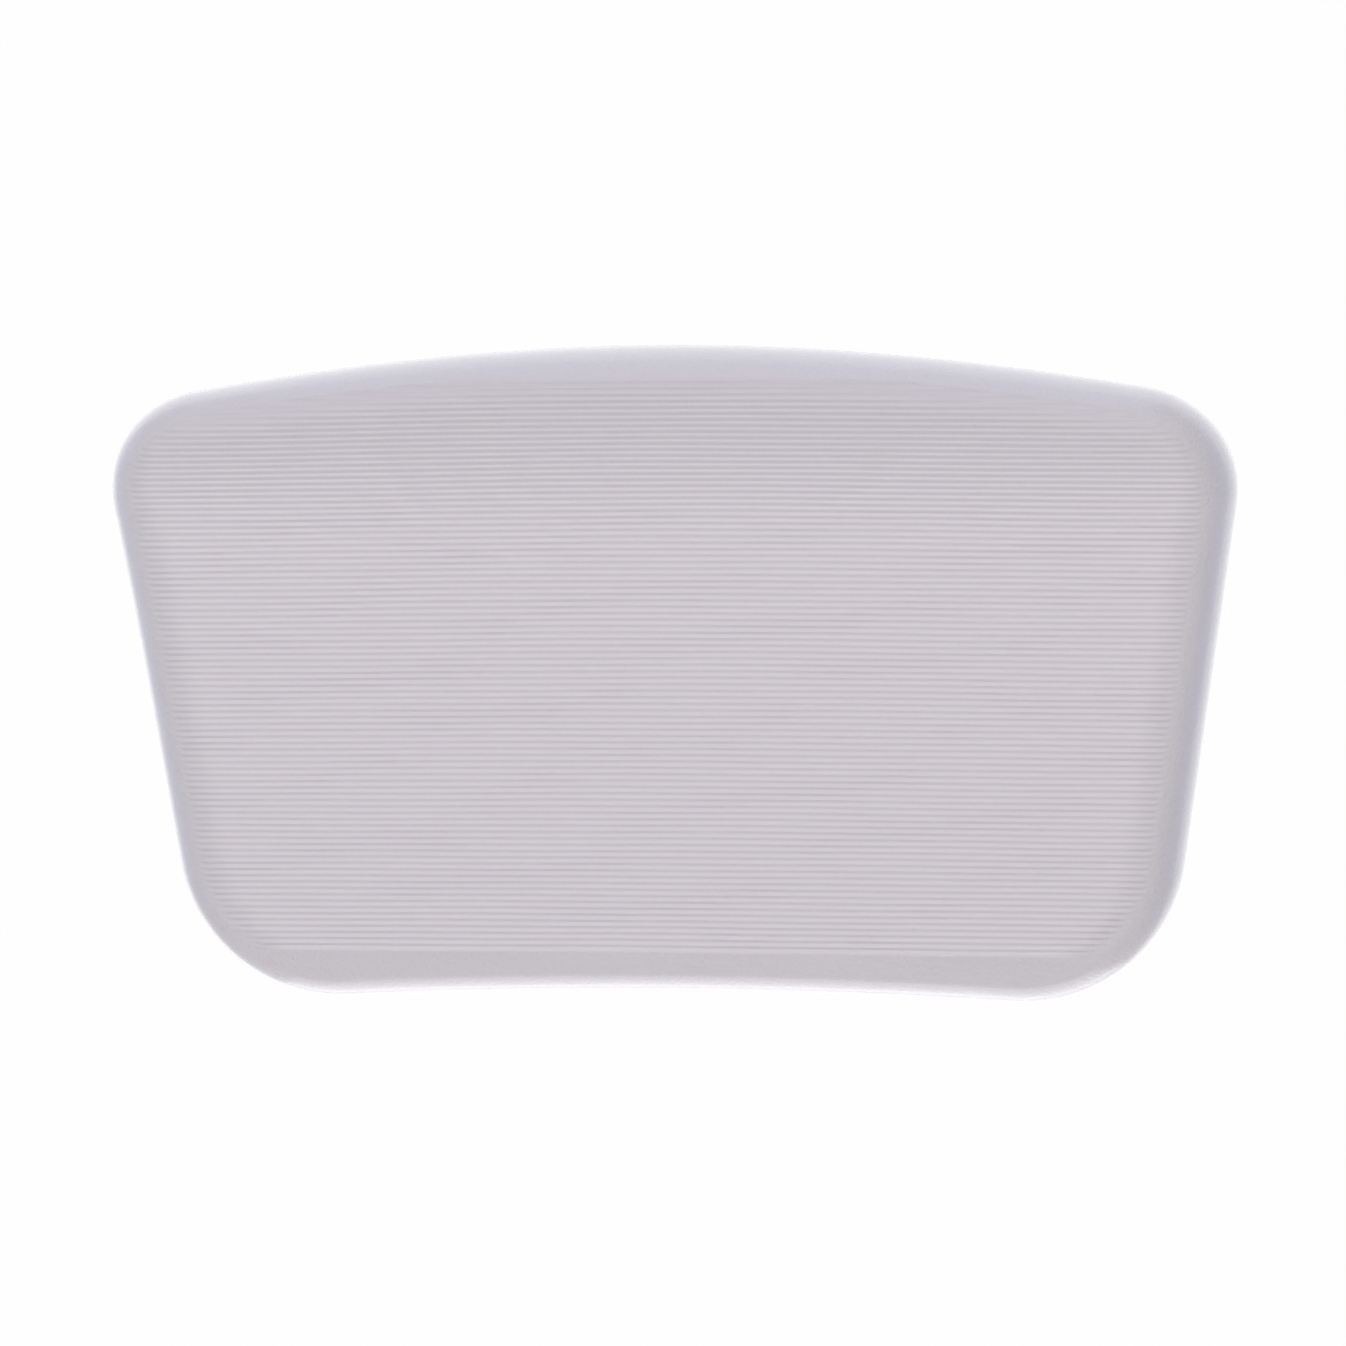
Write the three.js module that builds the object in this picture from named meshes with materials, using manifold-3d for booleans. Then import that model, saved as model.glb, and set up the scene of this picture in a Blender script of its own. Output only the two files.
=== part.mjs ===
// Hot tub headrest: a moulded soft pad with a ribbed, dished face, on a hidden insert plate with four
// screwed snap pegs. Millimetres. X is the width, Z is up, the face looks to -Y and the pegs point to +Y.
// The origin is on the flat back, in the middle of the peg pattern.
import * as THREE from 'three';
import { mergeVertices } from 'three/addons/utils/BufferGeometryUtils.js';
import Module from 'manifold-3d';

// Driving dimensions

// Pad outline, seen from the front
const padWidth = 280;
const padHeight = 163;
const archRadius = 700;
const topCornerRadius = 27;
const bottomCornerRadius = 41;
const sideTaper = 8.2;
const footRadius = 1480;

// Pad thickness: thinnest at the recess for the head, fuller at the neck roll and at the top lip
const recessThickness = 29;
const recessHeight = 37;
const neckRise = 7.5;
const lipRise = 7.5;
const dishAtTop = 8;
const rimWidth = 10.5;
const rimDepth = 18;
const backDraft = 5.5;
const backEdgeRadius = 2;

// Moulded ribs across the face, and the smooth border round them
const ribPitch = 1.605;
const ribHeight = 0.5;
const ribRunOut = 5;
const sideBorder = 7.5;
const topBorder = 3.9;
const bottomBorder = 12.5;

// Soft layers and the clearances between pieces
const skinThickness = 2;
const seatGap = 0.3;
const sideGap = 0.3;
const overcut = 1;

// Peg pattern, to the holes in the tub's shell
const pegSpacingX = 160;
const pegSpacingZ = 76;

// Snap peg
const flangeDiameter = 26;
const flangeThickness = 2.5;
const flangeChamfer = 0.5;
const shankDiameter = 12.5;
const shankFillet = 1;
const gripLength = 9.5;
const bulbDiameter = 14;
const bulbLand = 1.5;
const bulbRamp = 2;
const tipLength = 5.5;
const tipDiameter = 10.4;
const pegBore = 8.6;
const pegFloor = 3;
const slitWidth = 1.6;
const slitStart = 5;

// Screw, washer and threaded insert
const screwDiameter = 4;
const screwHole = 4.6;
const screwLength = 11;
const screwTipChamfer = 0.6;
const headDiameter = 7.4;
const headHeight = 2.6;
const headCrown = 0.8;
const driveLength = 4.2;
const driveWidth = 1;
const driveDepth = 1.5;
const washerThickness = 0.8;
const insertDiameter = 5.8;
const insertLength = 8;
const insertBore = 4.6;
const insertGroove = 1.4;
const insertGrooveDepth = 0.4;
const insertLead = 0.5;

// Insert plate
const plateDepth = 12;
const plateThickness = 3.5;
const plateEdge = 20;
const plateCorner = 14;
const bossDiameter = 16;
const webThickness = 2.5;
const webHeight = 6;
const lockHoleDiameter = 14;
const lockHolePitch = 40;
const lockHoleRows = 2;
const lockHoleColumns = 3;

// Facets
const outerSteps = { arch: 7, topCorner: 7, side: 5, bottomCorner: 7, foot: 6 };
const layerSteps = { arch: 4, topCorner: 4, side: 2, bottomCorner: 4, foot: 3 };
const layerRows = 14;
const faceColumns = [0.17, 0.39, 0.61, 0.83];
const rimTurns = [60, 76, 90];
const borderRings = 3;
const slopeReach = 0.01;
const smallRound = 20;
const wideRound = 24;

// Finishes
const skinFinish = new THREE.MeshStandardMaterial({ color: 0xcbc6cc, roughness: 0.62, metalness: 0 });
const foamFinish = new THREE.MeshStandardMaterial({ color: 0xb9b4b6, roughness: 0.95, metalness: 0 });
const plateFinish = new THREE.MeshStandardMaterial({ color: 0x2b2c2e, roughness: 0.5, metalness: 0 });
const pegFinish = new THREE.MeshStandardMaterial({ color: 0xe9e8e2, roughness: 0.4, metalness: 0 });
const steelFinish = new THREE.MeshStandardMaterial({ color: 0xc3c5c8, roughness: 0.3, metalness: 1 });
const brassFinish = new THREE.MeshStandardMaterial({ color: 0xc9a455, roughness: 0.35, metalness: 1 });

// Closed solids and booleans

const wasm = await Module();
wasm.setup();

// A solid from a closed geometry: shared vertices merged, triangles that collapse on an axis left out.
function solidOf(geometry) {
  const bare = new THREE.BufferGeometry();
  bare.setAttribute('position', geometry.getAttribute('position').clone());
  if (geometry.index) bare.setIndex(geometry.index.clone());
  const merged = mergeVertices(bare);
  const corners = merged.index.array;
  const triangles = [];
  for (let i = 0; i < corners.length; i += 3) {
    const [a, b, c] = corners.slice(i, i + 3);
    if (a !== b && b !== c && c !== a) triangles.push(a, b, c);
  }
  return new wasm.Manifold(new wasm.Mesh({
    numProp: 3,
    vertProperties: new Float32Array(merged.getAttribute('position').array),
    triVerts: new Uint32Array(triangles),
  }));
}

function geometryOf(solid) {
  const { vertProperties, triVerts } = solid.getMesh();
  const geometry = new THREE.BufferGeometry();
  geometry.setAttribute('position', new THREE.BufferAttribute(new Float32Array(vertProperties), 3));
  geometry.setIndex(new THREE.BufferAttribute(new Uint32Array(triVerts), 1));
  geometry.computeVertexNormals();
  return geometry;
}

function piece(name, solid, finish) {
  const mesh = new THREE.Mesh(geometryOf(solid), finish);
  mesh.name = name;
  return mesh;
}

// A turned solid about the Y axis from [radius, y] corners, listed once round the section.
function turned(corners, sides) {
  const section = [...corners, corners[0]].map(([radius, y]) => new THREE.Vector2(radius, y));
  return solidOf(new THREE.LatheGeometry(section, sides));
}

// A solid rod about the Y axis, or about a line beside it.
function rod(diameter, low, high, sides, x = 0, z = 0) {
  const length = high - low;
  const cylinder = new THREE.CylinderGeometry(diameter / 2, diameter / 2, length, sides);
  return solidOf(cylinder.translate(x, (low + high) / 2, z));
}

function block(width, low, high, height, x = 0, z = 0) {
  const box = new THREE.BoxGeometry(width, high - low, height);
  return solidOf(box.translate(x, (low + high) / 2, z));
}

// Pad outline: crown arch, top corner, straight side, bottom corner and foot arch, all tangent

function outlineOf({ halfWidth, top, bottom, arch, topCorner, bottomCorner, foot }) {
  const archCentre = new THREE.Vector2(0, top - arch);
  const topX = halfWidth - topCorner;
  const topCentre = new THREE.Vector2(topX, archCentre.y + Math.sqrt((arch - topCorner) ** 2 - topX ** 2));
  const lean = THREE.MathUtils.degToRad(sideTaper);
  const outward = new THREE.Vector2(Math.cos(lean), -Math.sin(lean));
  const downward = new THREE.Vector2(-Math.sin(lean), -Math.cos(lean));
  const footCentre = new THREE.Vector2(0, bottom - foot);
  const start = topCentre.clone().addScaledVector(outward, topCorner - bottomCorner);
  const reach = start.clone().sub(footCentre);
  const along = reach.dot(downward);
  const travel = -along - Math.sqrt(along ** 2 - reach.lengthSq() + (foot + bottomCorner) ** 2);
  const bottomCentre = start.clone().addScaledVector(downward, travel);
  const toFoot = footCentre.clone().sub(bottomCentre);
  return {
    arch, topCorner, bottomCorner, foot, archCentre, topCentre, bottomCentre, footCentre, outward,
    archAngle: topCentre.clone().sub(archCentre).angle(),
    sideAngle: -lean,
    footAngle: Math.atan2(toFoot.y, toFoot.x),
  };
}

function onCircle(centre, radius, angle) {
  return new THREE.Vector2(centre.x + radius * Math.cos(angle), centre.y + radius * Math.sin(angle));
}

function arcPoints(centre, radius, from, to, steps) {
  const angles = Array.from({ length: steps }, (_, i) => THREE.MathUtils.lerp(from, to, i / steps));
  return angles.map((angle) => onCircle(centre, radius, angle));
}

// The outline drawn in by inset, clockwise from the crown, with the same steps at every inset.
function outlineLoop(outline, inset, steps) {
  const { arch, topCorner, bottomCorner, foot, archCentre, topCentre, bottomCentre, footCentre } = outline;
  const { archAngle, sideAngle, footAngle } = outline;
  const sideTop = onCircle(topCentre, topCorner - inset, sideAngle);
  const sideBottom = onCircle(bottomCentre, bottomCorner - inset, sideAngle);
  const side = Array.from({ length: steps.side }, (_, i) => sideTop.clone().lerp(sideBottom, i / steps.side));
  const right = [
    ...arcPoints(archCentre, arch - inset, Math.PI / 2, archAngle, steps.arch),
    ...arcPoints(topCentre, topCorner - inset, archAngle, sideAngle, steps.topCorner),
    ...side,
    ...arcPoints(bottomCentre, bottomCorner - inset, sideAngle, footAngle, steps.bottomCorner),
    ...arcPoints(footCentre, foot + inset, footAngle + Math.PI, Math.PI / 2, steps.foot),
    onCircle(footCentre, foot + inset, Math.PI / 2),
  ];
  right[0].x = 0;
  right[right.length - 1].x = 0;
  const left = right.slice(1, -1).reverse().map((point) => new THREE.Vector2(-point.x, point.y));
  return [...right, ...left];
}

// Distance of a point inside the outline from its edge.
function edgeDistance(outline, x, z) {
  const point = new THREE.Vector2(Math.abs(x), z);
  const fromTop = point.clone().sub(outline.topCentre);
  const topAngle = Math.atan2(fromTop.y, fromTop.x);
  if (topAngle > outline.sideAngle && topAngle < outline.archAngle) {
    return outline.topCorner - fromTop.length();
  }
  const fromBottom = point.clone().sub(outline.bottomCentre);
  const bottomAngle = Math.atan2(fromBottom.y, fromBottom.x);
  if (bottomAngle > outline.footAngle && bottomAngle < outline.sideAngle) {
    return outline.bottomCorner - fromBottom.length();
  }
  return Math.min(
    outline.arch - point.distanceTo(outline.archCentre),
    outline.topCorner - fromTop.dot(outline.outward),
    point.distanceTo(outline.footCentre) - outline.foot,
  );
}

// Half of the outline's width at a height.
function halfWidthAt(outline, z) {
  const { archCentre, arch, topCentre, topCorner, bottomCentre, bottomCorner } = outline;
  const { archAngle, sideAngle } = outline;
  const archEnd = onCircle(topCentre, topCorner, archAngle).y;
  const sideTop = onCircle(topCentre, topCorner, sideAngle);
  const sideBottom = onCircle(bottomCentre, bottomCorner, sideAngle);
  if (z > archEnd) return Math.sqrt(arch ** 2 - (z - archCentre.y) ** 2);
  if (z > sideTop.y) return topCentre.x + Math.sqrt(topCorner ** 2 - (z - topCentre.y) ** 2);
  if (z < sideBottom.y) return bottomCentre.x + Math.sqrt(bottomCorner ** 2 - (z - bottomCentre.y) ** 2);
  return THREE.MathUtils.mapLinear(z, sideBottom.y, sideTop.y, sideBottom.x, sideTop.x);
}

const padTop = padHeight / 2;
const padBottom = -padHeight / 2;
const padOutline = outlineOf({
  halfWidth: padWidth / 2,
  top: padTop,
  bottom: padBottom,
  arch: archRadius,
  topCorner: topCornerRadius,
  bottomCorner: bottomCornerRadius,
  foot: footRadius,
});

// Edge of the ribbed field, drawn in by a depth for the layers under the skin.
function fieldOutline(depth) {
  const [side, top, bottom] = [sideBorder + depth, topBorder + depth, bottomBorder + depth];
  return outlineOf({
    halfWidth: padWidth / 2 - side,
    top: padTop - top,
    bottom: padBottom + bottom,
    arch: archRadius - top,
    topCorner: topCornerRadius - (side + top) / 2,
    bottomCorner: bottomCornerRadius - (side + bottom) / 2,
    foot: footRadius + bottom,
  });
}

// Pad face

function ease(share) {
  return (1 - Math.cos(Math.PI * THREE.MathUtils.clamp(share, 0, 1))) / 2;
}

// Thickness of the pad over its flat back, before the rim is rounded off.
function faceThickness(x, z) {
  const neck = neckRise * ease((recessHeight - z) / (recessHeight - padBottom));
  const lip = lipRise * ease((z - recessHeight) / (padTop - recessHeight));
  const dish = (dishAtTop * (z - padBottom)) / padHeight;
  return recessThickness + neck + lip + dish * ease((2 * Math.abs(x)) / padWidth);
}

// Front surface of a layer that lies a depth inside the pad, with the rim rounded off.
function frontY(x, z, depth) {
  const width = rimWidth - depth;
  const inRim = Math.max(0, width - (edgeDistance(padOutline, x, z) - depth));
  const drop = (rimDepth - depth) * (1 - Math.sqrt(Math.max(0, 1 - (inRim / width) ** 2)));
  return -(faceThickness(x, z) - depth - drop);
}

// Heights down the middle of the face, half a rib apart along its surface: valley, crest, valley and so on.
function ribLevels(top, bottom) {
  const levels = [top];
  let z = top;
  while (z > bottom) {
    const slope = (frontY(0, z + slopeReach, 0) - frontY(0, z - slopeReach, 0)) / (2 * slopeReach);
    z -= ribPitch / 2 / Math.hypot(1, slope);
    levels.push(z);
  }
  const whole = 2 * Math.floor((levels.length - 2) / 2);
  return levels.slice(0, whole + 1);
}

// Strip of triangles between two closed loops of vertex numbers. Both start nearest to one direction from
// the pad's middle, and each step takes the shorter of the two possible edges across the strip.
function zipLoops(outer, inner, positions, triangles) {
  const angleOf = (vertex) => Math.atan2(positions[vertex][0], positions[vertex][2]);
  const unwind = (loop) => {
    const angles = loop.map(angleOf);
    const first = angles.indexOf(Math.min(...angles));
    return [...loop.slice(first), ...loop.slice(0, first)];
  };
  const a = unwind(outer);
  const b = unwind(inner);
  const at = (loop, i) => loop[i % loop.length];
  const across = (p, q) => Math.hypot(positions[p][0] - positions[q][0], positions[p][2] - positions[q][2]);
  let i = 0;
  let j = 0;
  while (i < a.length || j < b.length) {
    const outerFirst = across(at(a, i + 1), at(b, j)) < across(at(a, i), at(b, j + 1));
    if (j >= b.length || (i < a.length && outerFirst)) {
      triangles.push(at(a, i), at(b, j), at(a, i + 1));
      i += 1;
    } else {
      triangles.push(at(a, i), at(b, j), at(b, j + 1));
      j += 1;
    }
  }
}

// The pad, or a layer a depth inside it, as one closed solid. Each row of the face is a chord across the
// rib field; with ribs the rows alternate between valley and crest.
function padSolid(depth, ribbed) {
  const positions = [];
  const triangles = [];
  const add = (x, y, z) => positions.push([x, y, z]) - 1;

  const fieldDepth = ribbed ? 0 : skinThickness;
  const field = fieldOutline(fieldDepth);
  const top = onCircle(field.archCentre, field.arch, Math.PI / 2).y - ribPitch;
  const bottom = onCircle(field.footCentre, field.foot, Math.PI / 2).y;
  const evenStep = (top - bottom) / layerRows;
  const evenLevels = Array.from({ length: layerRows + 1 }, (_, row) => top - row * evenStep);
  const levels = ribbed ? ribLevels(top, bottom) : evenLevels;
  const rowCount = levels.length - 1;

  const rows = levels.map((z, row) => {
    const half = halfWidthAt(field, z);
    const runOut = ribRunOut / (2 * half);
    const shares = [0, runOut, ...faceColumns, 1 - runOut, 1];
    const crest = ribbed && row % 2 === 1 ? ribHeight : 0;
    return shares.map((share, i) => {
      const x = half * (2 * share - 1);
      const atEnd = i === 0 || i === shares.length - 1;
      return add(x, frontY(x, z, depth) - (atEnd ? 0 : crest), z);
    });
  });
  for (let row = 0; row < rowCount; row += 1) {
    for (let i = 0; i + 1 < rows[row].length; i += 1) {
      const [a, b] = [rows[row][i], rows[row][i + 1]];
      const [c, d] = [rows[row + 1][i], rows[row + 1][i + 1]];
      triangles.push(a, c, b, b, c, d);
    }
  }
  const last = rows[rowCount];
  const fieldLoop = [
    ...rows[0],
    ...rows.slice(1, -1).map((row) => row[row.length - 1]),
    ...last.slice().reverse(),
    ...rows.slice(1, -1).reverse().map((row) => row[0]),
  ];

  // Rings from the rib field over the rounded rim and down the wall to the back
  const steps = ribbed ? outerSteps : layerSteps;
  const onFace = (point) => add(point.x, frontY(point.x, point.y, depth), point.y);
  const rimInset = (layer, turn) => {
    const share = 1 - Math.sin(THREE.MathUtils.degToRad(turn));
    return layer + (rimWidth - layer) * share;
  };
  const rimLoops = rimTurns.map((turn) => outlineLoop(padOutline, rimInset(depth, turn), steps));
  const fieldEdge = outlineLoop(field, 0, steps);
  const borderEnd = outlineLoop(padOutline, rimInset(fieldDepth, rimTurns[0]), steps);
  const borderLoops = Array.from({ length: borderRings }, (_, ring) => {
    const share = (ring + 1) / (borderRings + 1);
    return fieldEdge.map((point, i) => point.clone().lerp(borderEnd[i], share));
  });
  const rings = [...borderLoops, ...rimLoops].map((loop) => loop.map(onFace));
  for (const turn of [0, Math.PI / 4, Math.PI / 2]) {
    const inset = depth + backDraft + backEdgeRadius * (1 - Math.cos(turn));
    const y = -depth - backEdgeRadius * (1 - Math.sin(turn));
    rings.push(outlineLoop(padOutline, inset, steps).map((point) => add(point.x, y, point.y)));
  }
  zipLoops(rings[0], fieldLoop, positions, triangles);
  for (let ring = 0; ring + 1 < rings.length; ring += 1) {
    const [inner, outer] = [rings[ring], rings[ring + 1]];
    inner.forEach((vertex, i) => {
      const j = (i + 1) % inner.length;
      triangles.push(vertex, inner[j], outer[j], vertex, outer[j], outer[i]);
    });
  }

  // Flat back
  const back = rings[rings.length - 1];
  const contour = back.map((vertex) => new THREE.Vector2(positions[vertex][0], positions[vertex][2]));
  for (const [a, b, c] of THREE.ShapeUtils.triangulateShape(contour, [])) {
    triangles.push(back[a], back[c], back[b]);
  }

  const geometry = new THREE.BufferGeometry();
  geometry.setAttribute('position', new THREE.Float32BufferAttribute(positions.flat(), 3));
  geometry.setIndex(triangles);
  return solidOf(geometry);
}

// Stations of the pegs

const stations = [
  { place: 'upper_left', x: -pegSpacingX / 2, z: pegSpacingZ / 2 },
  { place: 'upper_right', x: pegSpacingX / 2, z: pegSpacingZ / 2 },
  { place: 'lower_left', x: -pegSpacingX / 2, z: -pegSpacingZ / 2 },
  { place: 'lower_right', x: pegSpacingX / 2, z: -pegSpacingZ / 2 },
];

// Heights along Y at each station, from the back plane
const flangeSeat = -flangeThickness;
const bossFace = flangeSeat - seatGap;
const floorTop = flangeSeat + pegFloor;
const washerSeat = floorTop + seatGap;
const headSeat = washerSeat + washerThickness + seatGap;
const screwTip = headSeat - screwLength;
const insertTop = bossFace - seatGap;
const insertEnd = insertTop - insertLength;
const boreEnd = Math.min(insertEnd, screwTip) - seatGap;
const plateBack = -plateDepth;
const plateMiddle = plateBack - plateThickness / 2;

// Insert plate, or the room for it in the foam when it is grown by a clearance

function roundedPlate(halfWidth, halfHeight, corner) {
  const shape = new THREE.Shape();
  shape.moveTo(-halfWidth + corner, -halfHeight);
  shape.absarc(halfWidth - corner, -halfHeight + corner, corner, -Math.PI / 2, 0);
  shape.absarc(halfWidth - corner, halfHeight - corner, corner, 0, Math.PI / 2);
  shape.absarc(-halfWidth + corner, halfHeight - corner, corner, Math.PI / 2, Math.PI);
  shape.absarc(-halfWidth + corner, -halfHeight + corner, corner, Math.PI, 1.5 * Math.PI);
  return shape;
}

function plateSolid(grow) {
  const shape = roundedPlate(
    pegSpacingX / 2 + plateEdge + grow,
    pegSpacingZ / 2 + plateEdge + grow,
    plateCorner + grow,
  );
  for (let row = 0; row < lockHoleRows; row += 1) {
    for (let column = 0; column < lockHoleColumns; column += 1) {
      const x = (column - (lockHoleColumns - 1) / 2) * lockHolePitch;
      const z = (row - (lockHoleRows - 1) / 2) * lockHolePitch;
      const hole = new THREE.Path();
      hole.absarc(x, z, lockHoleDiameter / 2 - grow, 0, 2 * Math.PI, true);
      shape.holes.push(hole);
    }
  }
  const sheet = new THREE.ExtrudeGeometry(shape, {
    depth: plateThickness + 2 * grow,
    bevelEnabled: false,
    curveSegments: 5,
  });
  let plate = solidOf(sheet.rotateX(Math.PI / 2).translate(0, plateBack + grow, 0));
  const webHigh = plateBack + webHeight + grow;
  const web = webThickness + 2 * grow;
  for (const side of [-1, 1]) {
    plate = plate.add(block(pegSpacingX, plateMiddle, webHigh, web, 0, (side * pegSpacingZ) / 2));
    plate = plate.add(block(web, plateMiddle, webHigh, pegSpacingZ, (side * pegSpacingX) / 2, 0));
  }
  return plate;
}

function insertPlate() {
  let plate = plateSolid(0);
  for (const { x, z } of stations) {
    plate = plate.add(rod(bossDiameter, plateMiddle, bossFace, smallRound, x, z));
    plate = plate.subtract(rod(insertDiameter + 2 * sideGap, boreEnd, bossFace + overcut, smallRound, x, z));
  }
  return plate;
}

// Soft layers

function flangeRecess(low, x, z) {
  return rod(flangeDiameter + 2 * sideGap, low, overcut, wideRound, x, z);
}

function padSkin() {
  let skin = padSolid(0, true).subtract(padSolid(skinThickness, false));
  for (const { x, z } of stations) skin = skin.subtract(flangeRecess(-2 * skinThickness, x, z));
  return skin;
}

function foamCore() {
  let core = padSolid(skinThickness + sideGap, false).subtract(plateSolid(sideGap));
  for (const { x, z } of stations) {
    core = core.subtract(flangeRecess(bossFace, x, z));
    core = core.subtract(rod(bossDiameter + 2 * sideGap, plateMiddle, overcut, smallRound, x, z));
  }
  return core;
}

// Pieces at each station, modelled about the Y axis

function snapPeg() {
  const shank = shankDiameter / 2;
  const flange = flangeDiameter / 2;
  const bulb = bulbDiameter / 2;
  const bulbStart = gripLength + bulbRamp;
  const tip = bulbStart + bulbLand + tipLength;
  const body = turned([
    [screwHole / 2, flangeSeat],
    [flange - flangeChamfer, flangeSeat],
    [flange, flangeSeat + flangeChamfer],
    [flange, -flangeChamfer],
    [flange - flangeChamfer, 0],
    [shank + shankFillet, 0],
    [shank, shankFillet],
    [shank, gripLength],
    [bulb, bulbStart],
    [bulb, bulbStart + bulbLand],
    [tipDiameter / 2, tip],
    [pegBore / 2, tip],
    [pegBore / 2, floorTop],
    [screwHole / 2, floorTop],
  ], wideRound);
  const across = block(2 * bulbDiameter, slitStart, tip + overcut, slitWidth);
  const upright = block(slitWidth, slitStart, tip + overcut, 2 * bulbDiameter);
  return body.subtract(across).subtract(upright);
}

function screwWasher() {
  const outer = pegBore / 2 - sideGap;
  const inner = screwHole / 2;
  const top = washerSeat + washerThickness;
  return turned([[inner, washerSeat], [outer, washerSeat], [outer, top], [inner, top]], smallRound);
}

function pegScrew() {
  const stem = screwDiameter / 2;
  const head = headDiameter / 2;
  const headTop = headSeat + headHeight;
  const body = turned([
    [0, screwTip],
    [stem - screwTipChamfer, screwTip],
    [stem, screwTip + screwTipChamfer],
    [stem, headSeat],
    [head, headSeat],
    [head, headTop - headCrown],
    [head - headCrown, headTop],
    [0, headTop],
  ], smallRound);
  const across = block(driveLength, headTop - driveDepth, headTop + overcut, driveWidth);
  const upright = block(driveWidth, headTop - driveDepth, headTop + overcut, driveLength);
  return body.subtract(across).subtract(upright);
}

function threadedInsert() {
  const outer = insertDiameter / 2;
  const waist = outer - insertGrooveDepth;
  const middle = (insertTop + insertEnd) / 2;
  return turned([
    [insertBore / 2, insertEnd],
    [outer - insertLead, insertEnd],
    [outer, insertEnd + insertLead],
    [outer, middle - insertGroove / 2],
    [waist, middle - insertGroove / 2],
    [waist, middle + insertGroove / 2],
    [outer, middle + insertGroove / 2],
    [outer, insertTop],
    [insertBore / 2, insertTop],
  ], smallRound);
}

// Assembly

const headrest = new THREE.Group();
headrest.add(piece('pad_skin', padSkin(), skinFinish));
headrest.add(piece('foam_core', foamCore(), foamFinish));
headrest.add(piece('insert_plate', insertPlate(), plateFinish));
for (const { place, x, z } of stations) {
  const station = new THREE.Group();
  station.position.set(x, 0, z);
  station.add(piece(`threaded_insert_${place}`, threadedInsert(), brassFinish));
  station.add(piece(`snap_peg_${place}`, snapPeg(), pegFinish));
  station.add(piece(`screw_washer_${place}`, screwWasher(), steelFinish));
  station.add(piece(`peg_screw_${place}`, pegScrew(), steelFinish));
  headrest.add(station);
}

export default headrest;
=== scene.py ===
"""Hot tub headrest: a soft moulded pad with a ribbed, dished face, on snap pegs, in a white studio.

Metres. X is the width, Z is up, the face looks to -Y and the pegs point to +Y. The origin is on the
flat back of the pad, in the middle of the peg pattern.
"""

import math

import bmesh
import bpy
import numpy as np
from mathutils import Matrix, Vector


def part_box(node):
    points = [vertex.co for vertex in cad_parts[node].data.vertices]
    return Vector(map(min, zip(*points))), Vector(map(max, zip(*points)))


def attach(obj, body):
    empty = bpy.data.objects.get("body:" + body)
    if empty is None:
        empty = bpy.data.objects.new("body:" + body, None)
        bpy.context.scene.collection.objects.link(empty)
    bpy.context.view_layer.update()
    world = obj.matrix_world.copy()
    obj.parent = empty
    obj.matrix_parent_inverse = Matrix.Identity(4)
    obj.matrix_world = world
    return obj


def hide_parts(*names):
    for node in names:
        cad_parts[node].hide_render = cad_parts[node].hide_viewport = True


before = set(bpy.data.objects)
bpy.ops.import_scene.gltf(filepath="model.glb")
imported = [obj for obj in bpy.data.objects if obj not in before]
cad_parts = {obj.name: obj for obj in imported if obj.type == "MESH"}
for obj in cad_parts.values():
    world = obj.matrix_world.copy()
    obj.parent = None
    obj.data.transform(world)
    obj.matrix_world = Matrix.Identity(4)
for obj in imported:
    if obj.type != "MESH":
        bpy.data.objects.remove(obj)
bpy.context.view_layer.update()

bl_info = {
    "name": "Hot tub headrest",
    "version": (1, 0, 0),
    "blender": (4, 5, 0),
    "location": "View3D > Sidebar > Headrest",
    "description": "Models a soft moulded headrest with its snap pegs, and the studio it stands in",
    "category": "Add Mesh",
}

PLACES = ("upper_left", "upper_right", "lower_left", "lower_right")
TINY = 1e-9
LEVEL_TOLERANCE = 1e-6

# Fineness of the meshes. Rings go over the rim, down the wall and round the back edge. Columns
# crowd towards the sides, but for a share of even spacing.
ROWS_PER_RIB = 6
SKIN_COLUMNS = 90
SKIN_RINGS = (10, 6, 4)
LINING_COLUMNS = 30
LINING_ROWS = 48
LINING_RINGS = (6, 3, 2)
EVEN_COLUMNS = 0.3
PEG_SIDES = 64
SMALL_SIDES = 48
CROWN_STEPS = 4
ROUND_SEGMENTS = 2

# Angles in degrees: edges below the first two are shaded smooth, edges over the third are rounded
SMOOTH_SKIN = 50
SMOOTH_FITTING = 30
ROUND_OVER = 35

# Shares: a screw's chamfer of its diameter, its roundings of its crown, a washer's of its thickness
SCREW_TIP = 0.15
SCREW_EDGE = 1 / 8
WASHER_EDGE = 1 / 6

# Least and greatest roughness
METAL_ROUGHNESS = {"steel": (0.24, 0.36), "brass": (0.28, 0.40)}

# Waves that make the ribs slightly uneven: radians per metre across and up, and a phase. Ribs
# wander by a share of a rib, and their height drifts by a share of itself.
LONG_WAVE = (41, 160, 0.0)
SHORT_WAVE = (97, -310, 1.3)
STEEP_WAVE = (63, 500, 0.7)
CROSS_WAVE = (140, -90, 0.0)
LONG_WANDER = 0.035
SHORT_WANDER = 0.03
HEIGHT_DRIFT = 0.04

# Ribs near the top are shallower by a share: it grows over the first four, holds up to the eighth
# and goes over the next sixteen
SHALLOW_SHARE = 0.2
SHALLOW_GROWS = 4
SHALLOW_HOLDS = 8
SHALLOW_GOES = 16

# Studio. The camera sees the floor as plain white, but for a small share of its lit paint.
SENSOR_WIDTH = 36.0
WHITE = (1.0, 1.0, 1.0)
FLOOR_RADIUS = 20.0
FLOOR_SIDES = 96
FLOOR_PAINT = (0.9, 0.9, 0.9)
FLOOR_GLOW = 0.985

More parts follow.
